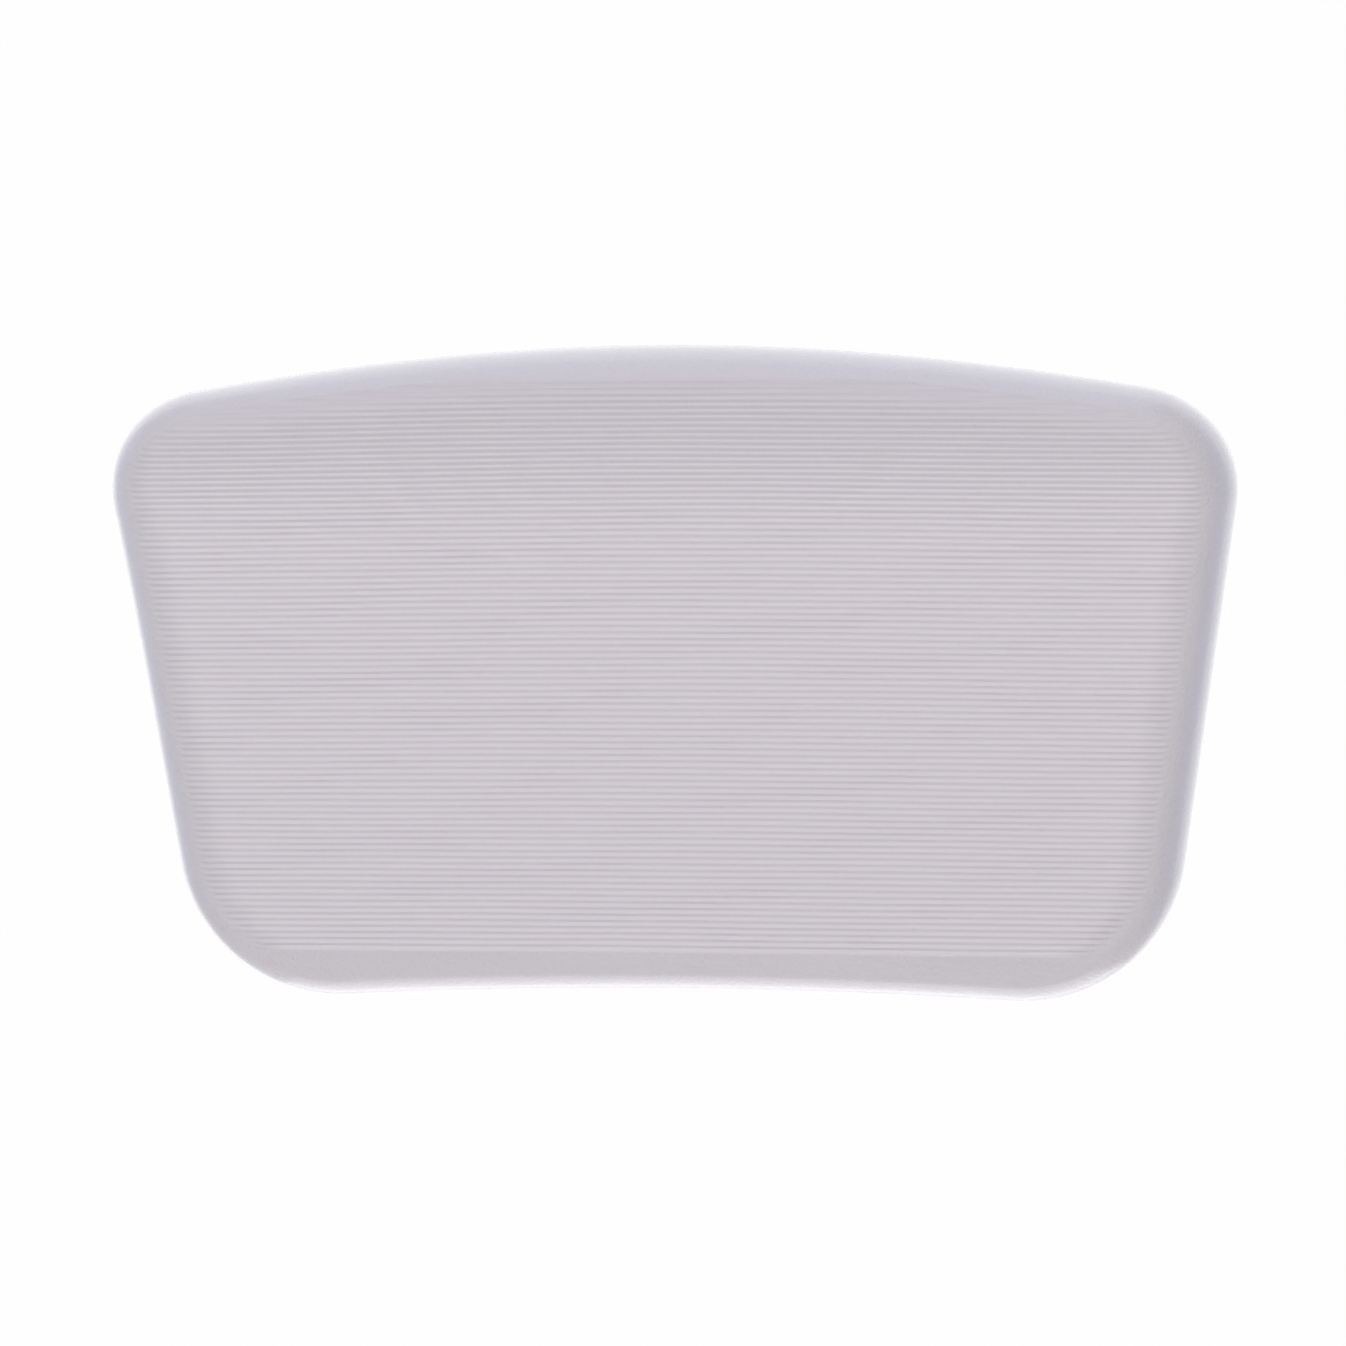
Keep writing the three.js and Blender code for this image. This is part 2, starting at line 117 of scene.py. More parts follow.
# Each lamp by the name of its power: place, width, tint, and whether reflections show it
LAMPS = {
    "front_left": ((-0.35, -1.25, 0.8), 0.7, (0.93, 0.96, 1.0), False),
    "front_right": ((0.45, -1.25, 0.8), 0.7, (1.0, 0.98, 0.86), False),
    "low_front": ((0.1, -1.2, -0.7), 0.7, WHITE, False),
    "left": ((-0.9, 0.25, 0.0), 0.8, (0.41, 0.50, 1.0), True),
    "right": ((0.9, 0.25, 0.0), 0.8, (0.22, 0.32, 1.0), True),
    "top": ((0.0, 0.25, 0.9), 0.8, (0.44, 0.57, 1.0), True),
    "under": ((0.0, 0.16, -0.75), 0.8, WHITE, True),
    "backdrop": ((0.0, 0.9, 0.0), 2.4, (0.94, 0.96, 1.0), True),
}


# Settings


def length(name, description, default):
    return bpy.props.FloatProperty(
        name=name, description=description, default=default, precision=5, unit="LENGTH"
    )


def angle(name, description, degrees):
    return bpy.props.FloatProperty(
        name=name, description=description, default=math.radians(degrees), subtype="ANGLE"
    )


def share(name, description, default):
    return bpy.props.FloatProperty(
        name=name, description=description, default=default, min=0.0, soft_max=1.0, subtype="FACTOR"
    )


def colour(name, description, default):
    return bpy.props.FloatVectorProperty(
        name=name, description=description, default=default, size=3, min=0.0, subtype="COLOR"
    )


def power(name, description, default):
    return bpy.props.FloatProperty(
        name=name, description=description, default=default, min=0.0, unit="POWER"
    )


class HeadrestPadSizes(bpy.types.PropertyGroup):
    """Outline, thickness and ribs of the pad."""

    width: length("Width", "Width of the pad at its widest, near the top", 0.280)
    height: length("Height", "Height of the pad at its middle", 0.163)
    arch_radius: length("Arch radius", "Radius of the arched top edge", 0.700)
    top_corner: length("Top corner radius", "Radius of the two top corners", 0.027)
    bottom_corner: length("Bottom corner radius", "Radius of the two bottom corners", 0.041)
    side_taper: angle("Side taper", "How far each side leans in towards the bottom", 8.2)
    foot_radius: length("Foot radius", "Radius of the slightly hollow bottom edge", 1.480)

    recess_thickness: length("Recess thickness", "Thickness where the head rests", 0.029)
    recess_height: length("Recess height", "Height of the thinnest line over the middle", 0.037)
    neck_rise: length("Neck rise", "How far the neck roll stands out at the bottom", 0.0075)
    lip_rise: length("Lip rise", "How far the top lip stands out", 0.0075)
    dish_at_top: length("Dish at top", "How far the sides stand out at the top", 0.008)
    rim_width: length("Rim width", "Width of the rounding from the face into the wall", 0.0105)
    rim_depth: length("Rim depth", "Depth of the rounding from the face into the wall", 0.018)
    back_draft: length("Back draft", "How far the wall draws in towards the back", 0.0055)
    back_edge: length("Back edge radius", "Rounding from the wall into the back", 0.002)
    skin: length("Skin thickness", "Thickness of the moulded skin", 0.002)

    rib_pitch: length("Rib pitch", "Way along the face from one rib to the next", 0.001605)
    rib_height: length("Rib height", "How far a rib stands out", 0.0005)
    rib_run_out: length("Rib run-out", "Length over which a rib fades at its ends", 0.0025)
    # Painted shade: the border's darker colour runs this far into the ribs from the sides and from
    # the top, for the shade beside the rim and under the top lip
    painted_shade_sides: length("Shade at sides", "How far the darker tone runs in from the sides", 0.010)
    painted_shade_top: length("Shade at top", "How far the darker tone runs in from the top", 0.045)
    side_border: length("Side border", "Smooth border beside the ribs", 0.0075)
    top_border: length("Top border", "Smooth border over the ribs", 0.0039)
    bottom_border: length("Bottom border", "Smooth border under the ribs", 0.0125)
    flange_gap: length("Flange gap", "Gap round the flange of each peg", 0.0003)


class HeadrestPegSizes(bpy.types.PropertyGroup):
    """Snap peg, and the screw and washer that hold it."""

    flange: length("Flange diameter", "Diameter of the flange that lies flush in the back", 0.026)
    flange_thickness: length("Flange thickness", "Thickness of the flange", 0.0025)
    shank: length("Shank diameter", "Diameter of the shank", 0.0125)
    grip: length("Grip length", "Length of the shank, for the wall that it goes through", 0.0095)
    bulb: length("Bulb diameter", "Diameter of the bulb that snaps behind the wall", 0.014)
    bulb_ramp: length("Bulb ramp", "Length of the slope from the shank to the bulb", 0.002)
    bulb_land: length("Bulb land", "Length of the straight part of the bulb", 0.0015)
    tip: length("Tip diameter", "Diameter at the end of the peg", 0.0104)
    tip_length: length("Tip length", "Length of the slope from the bulb to the end", 0.0055)
    bore: length("Bore diameter", "Diameter of the bore for the screw's head", 0.0086)
    floor: length("Floor thickness", "Thickness of plastic under the screw's head", 0.003)
    slit: length("Slit width", "Width of the two slits that split the peg", 0.0016)
    slit_start: length("Slit start", "Height of the slits' ends over the back", 0.005)
    edge: length("Edge rounding", "Rounding of the moulded edges", 0.0003)

    screw: length("Screw diameter", "Diameter of the screw", 0.004)
    screw_hole: length("Screw hole", "Diameter of the hole for the screw", 0.0046)
    head: length("Head diameter", "Diameter of the screw's head", 0.0074)
    head_height: length("Head height", "Height of the screw's head", 0.0026)
    head_crown: length("Head crown", "Rounding over the top of the head", 0.0008)
    drive_length: length("Drive length", "Length of each arm of the cross drive", 0.0042)
    drive_width: length("Drive width", "Width of each arm of the cross drive", 0.001)
    drive_depth: length("Drive depth", "Depth of the cross drive", 0.0015)
    washer: length("Washer diameter", "Diameter of the washer", 0.008)
    washer_thickness: length("Washer thickness", "Thickness of the washer", 0.0008)


class HeadrestFinishes(bpy.types.PropertyGroup):
    """Colours of the pieces."""

    skin: colour("Skin", "Light lilac grey of the ribbed skin", (0.62, 0.582, 0.627))
    # Border colour: partly the smooth border's own matt tone, partly painted shade, which the tone
    # mark also carries down from the top and in from the sides
    border_and_painted_shade: colour("Border", "Smooth border of the skin, a shade darker", (0.55, 0.516, 0.56))
    foam: colour("Foam", "Foam under the skin", (0.56, 0.53, 0.54))
    plate: colour("Plate", "Insert plate", (0.03, 0.03, 0.033))
    peg: colour("Peg", "Snap pegs", (0.80, 0.79, 0.74))
    steel: colour("Steel", "Screws and washers", (0.55, 0.56, 0.58))
    brass: colour("Brass", "Threaded inserts", (0.60, 0.40, 0.13))


class HeadrestStudio(bpy.types.PropertyGroup):
    """Camera, lamps and floor."""

    camera_azimuth: angle("Camera azimuth", "Turn of the camera to the right of the face", 7.706)
    camera_elevation: angle("Camera elevation", "Height of the camera over the face", 12.343)
    camera_roll: angle("Camera roll", "Tilt of the camera about its view", -1.528)
    camera_distance: length("Camera distance", "Distance of the camera from its target", 1.2807)
    focal_length: bpy.props.FloatProperty(
        name="Focal length", description="Lens of the camera", default=135.5, unit="CAMERA"
    )
    target: bpy.props.FloatVectorProperty(
        name="Target",
        description="Point that the camera looks at",
        default=(-0.00264, 0.0, -0.005),
        size=3,
        precision=5,
        subtype="TRANSLATION",
    )
    floor_level: length("Floor level", "Height of the floor", -0.85)
    ambient: share("Ambient level", "Strength of the white light from all round", 0.38)
    front_left: power("Front left lamp", "Soft lamp high in front, to the left", 8.5)
    front_right: power("Front right lamp", "Soft lamp high in front, to the right", 6.0)
    low_front: power("Low front lamp", "Soft lamp low in front", 2.2)
    left: power("Left lamp", "Panel on the left, a little behind", 0.7)
    right: power("Right lamp", "Panel on the right, a little behind", 0.65)
    top: power("Top lamp", "Panel overhead, a little behind", 1.2)
    under: power("Under lamp", "Panel under the pad, a little behind", 2.7)
    backdrop: power("Backdrop lamp", "Wide panel behind the pad", 8.8)


# Form of the pad


def ease(value):
    """A smooth rise from 0 to 1 while the value goes from 0 to 1."""
    return (1 - np.cos(np.pi * np.clip(value, 0, 1))) / 2


def wave(x, z, across, up, phase):
    return np.sin(across * x + up * z + phase)


class Outline:
    """Rounded trapezoid about X = 0: arched top, round corners, tapered sides, hollow foot."""

    def __init__(self, half_width, top, bottom, arch, top_corner, bottom_corner, foot, taper):
        self.arch, self.foot = arch, foot
        self.top_corner, self.bottom_corner = top_corner, bottom_corner
        self.crown, self.foot_level = top, bottom
        self.arch_centre = np.array((0, top - arch))
        self.foot_centre = np.array((0, bottom - foot))
        top_x = half_width - top_corner
        rise = math.sqrt((arch - top_corner) ** 2 - top_x**2)
        self.top_centre = np.array((top_x, self.arch_centre[1] + rise))
        self.outward = np.array((math.cos(taper), -math.sin(taper)))
        downward = np.array((-math.sin(taper), -math.cos(taper)))
        start = self.top_centre + self.outward * (top_corner - bottom_corner)
        reach = start - self.foot_centre
        along = reach @ downward
        travel = -along - math.sqrt(along**2 - reach @ reach + (foot + bottom_corner) ** 2)
        self.bottom_centre = start + downward * travel
        self.arch_angle = math.atan2(*(self.top_centre - self.arch_centre)[::-1])
        self.side_angle = -taper
        self.foot_angle = math.atan2(*(self.foot_centre - self.bottom_centre)[::-1])

    def edge(self, x, z):
        """Distance of points inside from the edge, and the direction of the nearest edge."""
        point = np.stack((np.abs(x), z), axis=1)
        from_arch = point - self.arch_centre
        from_foot = point - self.foot_centre
        from_top = point - self.top_centre
        from_bottom = point - self.bottom_centre
        arch_reach = np.linalg.norm(from_arch, axis=1)
        foot_reach = np.linalg.norm(from_foot, axis=1)
        top_reach = np.maximum(np.linalg.norm(from_top, axis=1), TINY)
        bottom_reach = np.maximum(np.linalg.norm(from_bottom, axis=1), TINY)
        gaps = np.stack(
            (
                self.arch - arch_reach,
                self.top_corner - from_top @ self.outward,
                foot_reach - self.foot,
            )
        )
        nearest = np.argmin(gaps, axis=0)
        distance = np.min(gaps, axis=0)
        directions = np.stack(
            (
                from_arch / arch_reach[:, None],
                np.broadcast_to(self.outward, point.shape),
                -from_foot / foot_reach[:, None],
            )
        )
        outward = directions[nearest, np.arange(len(point))]
        top_turn = np.arctan2(from_top[:, 1], from_top[:, 0])
        in_top = (top_turn > self.side_angle) & (top_turn < self.arch_angle)
        bottom_turn = np.arctan2(from_bottom[:, 1], from_bottom[:, 0])
        in_bottom = (bottom_turn > self.foot_angle) & (bottom_turn < self.side_angle)
        distance = np.where(in_top, self.top_corner - top_reach, distance)
        distance = np.where(in_bottom, self.bottom_corner - bottom_reach, distance)
        outward = np.where(in_top[:, None], from_top / top_reach[:, None], outward)
        outward = np.where(in_bottom[:, None], from_bottom / bottom_reach[:, None], outward)
        outward = outward * np.stack((np.where(x < 0, -1, 1), np.ones(len(point))), axis=1)
        return distance, outward

    def half_width(self, z):
        """Half of the width at heights between the foot and the crown."""
        arch_end = self.top_centre[1] + self.top_corner * math.sin(self.arch_angle)
        side_top = self.top_centre + self.top_corner * self.outward
        side_bottom = self.bottom_centre + self.bottom_corner * self.outward
        on_arch = np.sqrt(np.maximum(self.arch**2 - (z - self.arch_centre[1]) ** 2, 0))
        in_top = np.sqrt(np.maximum(self.top_corner**2 - (z - self.top_centre[1]) ** 2, 0))
        in_bottom = np.sqrt(np.maximum(self.bottom_corner**2 - (z - self.bottom_centre[1]) ** 2, 0))
        along_side = np.interp(z, (side_bottom[1], side_top[1]), (side_bottom[0], side_top[0]))
        half = np.where(z > side_top[1], self.top_centre[0] + in_top, along_side)
        half = np.where(z > arch_end, on_arch, half)
        return np.where(z < side_bottom[1], self.bottom_centre[0] + in_bottom, half)


class PadForm:
    """The dished, ribbed face of the pad, its rounded rim, its wall and its flat back."""

    def __init__(self, sizes):
        self.sizes = sizes
        half_width, self.top = sizes.width / 2, sizes.height / 2
        self.outline = Outline(
            half_width=half_width,
            top=self.top,
            bottom=-self.top,
            arch=sizes.arch_radius,
            top_corner=sizes.top_corner,
            bottom_corner=sizes.bottom_corner,
            foot=sizes.foot_radius,
            taper=sizes.side_taper,
        )
        self.field = Outline(
            half_width=half_width - sizes.side_border,
            top=self.top - sizes.top_border,
            bottom=-self.top + sizes.bottom_border,
            arch=sizes.arch_radius - sizes.top_border,
            top_corner=sizes.top_corner - (sizes.side_border + sizes.top_border) / 2,
            bottom_corner=sizes.bottom_corner - (sizes.side_border + sizes.bottom_border) / 2,
            foot=sizes.foot_radius + sizes.bottom_border,
            taper=sizes.side_taper,
        )
        self.levels = self.rib_levels()
        self.rib_count = len(self.levels) // 2

    def rib_levels(self):
        """Heights down the middle of the face, half a rib apart along its surface."""
        reach = 1e-5
        levels = [self.field.crown - self.sizes.rib_pitch]
        while levels[-1] > self.field.foot_level:
            beside = np.array((levels[-1] - reach, levels[-1] + reach))
            low, high = self.front(np.zeros(2), beside, 0.0)
            slope = (high - low) / (2 * reach)
            levels.append(levels[-1] - self.sizes.rib_pitch / 2 / math.hypot(1, slope))
        whole = 2 * ((len(levels) - 2) // 2)
        return np.array(levels[: whole + 1])

    def thickness(self, x, z):
        """Thickness of the pad without its ribs and rim."""
        s = self.sizes
        neck = s.neck_rise * ease((s.recess_height - z) / (s.recess_height + self.top))
        lip = s.lip_rise * ease((z - s.recess_height) / (self.top - s.recess_height))
        dish = s.dish_at_top * (z + self.top) / s.height
        return s.recess_thickness + neck + lip + dish * ease(2 * np.abs(x) / s.width)

    def front(self, x, z, depth):
        """Y of the face of a layer that lies a depth inside the pad, its rim rounded off."""
        width = self.sizes.rim_width - depth
        in_rim = np.maximum(0, width - (self.outline.edge(x, z)[0] - depth))
        fall = 1 - np.sqrt(np.maximum(0, 1 - (in_rim / width) ** 2))
        return depth + (self.sizes.rim_depth - depth) * fall - self.thickness(x, z)

    def rib(self, x, z):
        """Height of the ribs, which wander a little, fade at their ends and vary in height."""
        s = self.sizes
        wander = LONG_WANDER * wave(x, z, *LONG_WAVE) + SHORT_WANDER * wave(x, z, *SHORT_WAVE)
        count = np.interp(-z, -self.levels, np.arange(len(self.levels)) / 2)
        crest = (1 - np.cos(2 * np.pi * (count + wander))) / 2
        fade = ease((self.field.half_width(z) - np.abs(x)) / s.rib_run_out)
        uneven = 1 + HEIGHT_DRIFT * wave(x, z, *STEEP_WAVE) * wave(x, z, *CROSS_WAVE)
        near_top = ease(count / SHALLOW_GROWS) * (1 - ease((count - SHALLOW_HOLDS) / SHALLOW_GOES))
        return s.rib_height * crest * fade * uneven * (1 - SHALLOW_SHARE * near_top)

    def face(self, across, up, depth, ribbed):
        """Points of the face for shares from -1 to 1 across and up the rib field."""
        z = np.interp((1 - up) * self.rib_count, np.arange(len(self.levels)), self.levels)
        crowded = np.sin(np.pi / 2 * across)
        x = self.field.half_width(z) * (EVEN_COLUMNS * across + (1 - EVEN_COLUMNS) * crowded)
        y = self.front(x, z, depth)
        if ribbed:
            y = y - self.rib(x, z)
        return np.stack((x, y, z), axis=1)

    def towards_edge(self, points, inset):
        """Points moved along the outline's normal until they lie an inset inside it."""
        distance, outward = self.outline.edge(points[:, 0], points[:, 2])
        return points[:, (0, 2)] + outward * (distance - inset)[:, None]

    def rim_step(self, depth, left):
        """The next ring over the rim, with so many steps left to the wall."""
        width = self.sizes.rim_width - depth

        def place(points):
            distance = self.outline.edge(points[:, 0], points[:, 2])[0] - depth
            turn = np.arcsin(np.clip(1 - distance / width, 0, 1))
            turn = turn + (np.pi / 2 - turn) / left
            flat = self.towards_edge(points, depth + width * (1 - np.sin(turn)))
            y = self.front(flat[:, 0], flat[:, 1], depth)
            return np.stack((flat[:, 0], y, flat[:, 1]), axis=1)

        return place

    def wall_step(self, depth, left):
        """The next ring down the wall, with so many steps left to its rounded back edge."""
        s = self.sizes

        def place(points):
            inset = self.outline.edge(points[:, 0], points[:, 2])[0]
            inset = inset + (depth + s.back_draft - inset) / left
            y = points[:, 1] + (-depth - s.back_edge - points[:, 1]) / left
            flat = self.towards_edge(points, inset)
            return np.stack((flat[:, 0], y, flat[:, 1]), axis=1)

        return place

    def back_step(self, depth, turn, inward=0.0):
        """A ring on the rounded back edge at a turn from the wall, or further in on the back."""
        s = self.sizes

        def place(points):
            inset = depth + s.back_draft + s.back_edge * (1 - math.cos(turn)) + inward
            y = -depth - s.back_edge * (1 - math.sin(turn))
            flat = self.towards_edge(points, inset)
            return np.stack((flat[:, 0], np.full(len(points), y), flat[:, 1]), axis=1)

        return place


# Modelling steps


def clear_selection():
    if bpy.context.object and bpy.context.object.mode != "OBJECT":
        bpy.ops.object.mode_set(mode="OBJECT")
    bpy.ops.object.select_all(action="DESELECT")


def make_active(piece):
    clear_selection()
    piece.select_set(True)
    bpy.context.view_layer.objects.active = piece


def points_of(piece):
    points = np.empty(len(piece.data.vertices) * 3)
    piece.data.vertices.foreach_get("co", points)
    return points.reshape(-1, 3)


def face_outwards():
    """Turns all faces outwards and leaves edit mode."""
    bpy.ops.mesh.select_all(action="SELECT")
    bpy.ops.mesh.normals_make_consistent(inside=False)
    bpy.ops.object.mode_set(mode="OBJECT")


def extrude_ring(piece, place):
    """Extrudes the selected edge loop in edit mode and puts its new points where place says."""
    bpy.ops.mesh.extrude_edges_indiv()
    mesh = bmesh.from_edit_mesh(piece.data)
    ring = [vertex for vertex in mesh.verts if vertex.select]
    points = np.array([vertex.co for vertex in ring])
    for vertex, point in zip(ring, place(points)):
        vertex.co = point
    bmesh.update_edit_mesh(piece.data)


def select_open_edges(piece, level):
    """Selects the open edges that lie at a level along Y."""
    bpy.ops.mesh.select_mode(type="EDGE")
    bpy.ops.mesh.select_all(action="DESELECT")
    mesh = bmesh.from_edit_mesh(piece.data)
    for edge in mesh.edges:
        at_level = all(abs(vertex.co.y - level) < LEVEL_TOLERANCE for vertex in edge.verts)
        if at_level and len(edge.link_faces) < 2:
            edge.select = True
    bmesh.update_edit_mesh(piece.data)


def apply_modifier(piece, kind, **settings):
    modifier = piece.modifiers.new(kind.lower(), kind)
    for key, value in settings.items():
        setattr(modifier, key, value)
    make_active(piece)
    bpy.ops.object.modifier_apply(modifier=modifier.name)


def finish_piece(piece, node, slot, smooth_under=SMOOTH_FITTING):
    """Shades a piece, gives it its finish, and lets it stand for its CAD node."""
    make_active(piece)
    bpy.ops.object.shade_smooth_by_angle(angle=math.radians(smooth_under))
    piece.data.materials.clear()
    piece.data.materials.append(finish(slot))
    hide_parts(node)
    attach(piece, "root")


def mark_points(piece, name, values):
    """Gives each point a value that the finish reads by name."""
    marks = piece.data.attributes.new(name, "FLOAT", "POINT")
    marks.data.foreach_set("value", values)


def pad_layer(name, form, depth, columns, rows, rings, ribbed):
    """A face of the pad with its rim and wall, open at the back."""
    clear_selection()
    bpy.ops.mesh.primitive_grid_add(x_subdivisions=columns, y_subdivisions=rows, size=2)
    layer = bpy.context.object
    layer.name = layer.data.name = name
    flat = points_of(layer)
    face = form.face(flat[:, 0], flat[:, 1], depth, ribbed)
    layer.data.vertices.foreach_set("co", face.ravel())

    # Where the ribs are, and how far the face is from the border's darker colour, which runs in
    # from the sides and the top as painted shade
    s = form.sizes
    edge_gap = form.field.half_width(face[:, 2]) - np.abs(face[:, 0])
    row_gap = (1 - np.abs(flat[:, 1])) * form.rib_count
    top_gap = (1 - flat[:, 1]) * form.rib_count / 2 * s.rib_pitch
    inside = np.minimum(edge_gap / s.painted_shade_sides, top_gap / s.painted_shade_top)
    mark_points(layer, "ribs", ease(np.minimum(edge_gap / s.rib_run_out, row_gap)))
    # Tone mark: 0 on the border and 1 away from it; where it runs in from the top and sides it is
    # painted shade
    mark_points(layer, "tone", ease(np.minimum(inside, row_gap)))

    # Rim, wall and back edge
    bpy.ops.object.mode_set(mode="EDIT")
    bpy.ops.mesh.select_mode(type="EDGE")
    bpy.ops.mesh.select_all(action="DESELECT")
    bpy.ops.mesh.select_non_manifold()
    rim, wall, edge = rings
    for left in range(rim, 0, -1):
        extrude_ring(layer, form.rim_step(depth, left))
    for left in range(wall, 0, -1):
        extrude_ring(layer, form.wall_step(depth, left))
    for step in range(1, edge + 1):
        extrude_ring(layer, form.back_step(depth, math.pi / 2 * step / edge))
    extrude_ring(layer, form.back_step(depth, math.pi / 2, inward=s.back_edge))
    return layer


def peg_centres():
    """Middle of each snap peg's footprint, by place."""
    centres = {}
    for place in PLACES:
        low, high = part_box(f"snap_peg_{place}")
        centres[place] = Vector(((low.x + high.x) / 2, 0, (low.z + high.z) / 2))
    return centres


def turned(name, stations, sides, closed=False):
    """A turned piece about the Y axis: a circle extruded and resized from station to station."""
    clear_selection()
    radius, level = stations[0]
    bpy.ops.mesh.primitive_circle_add(
        vertices=sides, radius=radius, location=(0, level, 0), rotation=(math.pi / 2, 0, 0)
    )
    piece = bpy.context.object
    piece.name = piece.data.name = name
    bpy.ops.object.transform_apply()
    bpy.ops.object.mode_set(mode="EDIT")
    bpy.ops.mesh.select_mode(type="EDGE")
    bpy.ops.mesh.select_all(action="SELECT")
    for next_radius, next_level in stations[1:]:
        ratio = next_radius / radius
        bpy.ops.mesh.extrude_edges_indiv()
        bpy.ops.transform.translate(value=(0, next_level - level, 0))
        bpy.ops.transform.resize(value=(ratio, 1, ratio), center_override=(0, next_level, 0))
        radius, level = next_radius, next_level
    bpy.ops.mesh.select_all(action="DESELECT")
    bpy.ops.mesh.select_non_manifold()
    if closed:
        bpy.ops.mesh.bridge_edge_loops()
    else:
        bpy.ops.mesh.edge_face_add()
    face_outwards()
    return piece


def cut_cross(piece, arm_length, arm_width, low, high):
    """Cuts two crossed slots out of a turned piece."""
    for size in ((arm_length, high - low, arm_width), (arm_width, high - low, arm_length)):
        clear_selection()
        bpy.ops.mesh.primitive_cube_add(size=1, location=(0, (low + high) / 2, 0))
        cutter = bpy.context.object
        bpy.ops.transform.resize(value=size)
        bpy.ops.object.transform_apply()
        apply_modifier(piece, "BOOLEAN", object=cutter, operation="DIFFERENCE", solver="EXACT")
        bpy.data.objects.remove(cutter, do_unlink=True)


def round_edges(piece, width):
    apply_modifier(
        piece,
        "BEVEL",
        width=width,
        segments=ROUND_SEGMENTS,
        limit_method="ANGLE",
        angle_limit=math.radians(ROUND_OVER),
    )


def copies_at_pegs(pattern, kind, slot):
    """Puts a copy of a piece, with a mesh of its own, at each peg, and removes the pattern."""
    for place, centre in peg_centres().items():
        make_active(pattern)
        bpy.ops.object.duplicate()
        copy = bpy.context.object
        copy.name = copy.data.name = f"{kind}_{place}_body"
        bpy.ops.transform.translate(value=centre)
        bpy.ops.object.transform_apply()
        finish_piece(copy, f"{kind}_{place}", slot)
    bpy.data.objects.remove(pattern, do_unlink=True)


# Finishes


def node(tree, kind, **values):
    """Adds a node; values name its properties or, with a capital first, its input sockets."""
    made = tree.nodes.new(kind)
    for key, value in values.items():
        socket = made.inputs.get(key.replace("_", " "))
        if key[0].isupper() and socket is not None:
            socket.default_value = value
        else:
            setattr(made, key, value)
    return made


def link(tree, source, output, target, socket):
    tree.links.new(source.outputs[output], target.inputs[socket])


def group_tree(name, inputs, outputs):
    tree = bpy.data.node_groups.new(name, "ShaderNodeTree")
    for label, kind, default in inputs:
        socket = tree.interface.new_socket(name=label, in_out="INPUT", socket_type=kind)
        socket.default_value = default
    for label, kind in outputs:
        tree.interface.new_socket(name=label, in_out="OUTPUT", socket_type=kind)
    return tree, tree.nodes.new("NodeGroupInput"), tree.nodes.new("NodeGroupOutput")


def tone_drift_group():
    """A colour that drifts a little lighter and darker over the surface."""
    if "tone drift" in bpy.data.node_groups:
        return bpy.data.node_groups["tone drift"]
    tree, given, made = group_tree(
        "tone drift",
        (
            ("Color", "NodeSocketColor", (1, 1, 1, 1)),
            ("Scale", "NodeSocketFloat", 30.0),
            ("Drift", "NodeSocketFloat", 0.03),
        ),
        (("Color", "NodeSocketColor"), ("Value", "NodeSocketFloat")),
    )
    place = node(tree, "ShaderNodeTexCoord")
    cloud = node(tree, "ShaderNodeTexNoise", Detail=4.0, Roughness=0.55)
    centred = node(tree, "ShaderNodeMath", operation="SUBTRACT")
    centred.inputs[1].default_value = 0.5
    sized = node(tree, "ShaderNodeMath", operation="MULTIPLY_ADD")
    sized.inputs[2].default_value = 1.0
    tint = node(tree, "ShaderNodeVectorMath", operation="SCALE")
    link(tree, place, "Object", cloud, "Vector")
    link(tree, given, "Scale", cloud, "Scale")
    link(tree, cloud, "Fac", centred, 0)
    link(tree, centred, 0, sized, 0)
    link(tree, given, "Drift", sized, 1)
    link(tree, given, "Color", tint, 0)
    link(tree, sized, 0, tint, "Scale")
    link(tree, tint, "Vector", made, "Color")
    link(tree, cloud, "Fac", made, "Value")
    return tree


def moulded_grain_group():
    """Height of the fine grain that a mould leaves, with longer shallow creases."""
    if "moulded grain" in bpy.data.node_groups:
        return bpy.data.node_groups["moulded grain"]
    tree, given, made = group_tree(
        "moulded grain",
        (
            ("Grain Scale", "NodeSocketFloat", 1200.0),
            ("Crease Scale", "NodeSocketFloat", 200.0),
            ("Crease Share", "NodeSocketFloat", 0.5),
        ),
        (("Height", "NodeSocketFloat"),),
    )
    place = node(tree, "ShaderNodeTexCoord")
    stretch = node(tree, "ShaderNodeMapping", Scale=(0.35, 1.0, 1.0))
    cells = node(tree, "ShaderNodeTexVoronoi", feature="SMOOTH_F1", Smoothness=0.6)
    creases = node(tree, "ShaderNodeTexNoise", Detail=5.0, Roughness=0.6, Distortion=0.8)
    blend = node(tree, "ShaderNodeMix", data_type="FLOAT")
    link(tree, place, "Object", cells, "Vector")
    link(tree, given, "Grain Scale", cells, "Scale")
    link(tree, place, "Object", stretch, "Vector")
    link(tree, stretch, "Vector", creases, "Vector")
    link(tree, given, "Crease Scale", creases, "Scale")
    link(tree, given, "Crease Share", blend, "Factor")
    link(tree, cells, "Distance", blend, "A")
    link(tree, creases, "Fac", blend, "B")
    link(tree, blend, "Result", made, "Height")
    return tree


def set_inputs(target, values):
    """Sets a node's input sockets, named with _ in place of spaces."""
    for key, value in values.items():
        target.inputs[key.replace("_", " ")].default_value = value


def placed_group(tree, group, **values):
    made = tree.nodes.new("ShaderNodeGroup")
    made.node_tree = group
    set_inputs(made, values)
    return made


def new_finish(name, **values):
    material = bpy.data.materials.new(name)
    material.use_nodes = True
    tree = material.node_tree
    surface = tree.nodes["Principled BSDF"]
    set_inputs(surface, values)
    return material, tree, surface


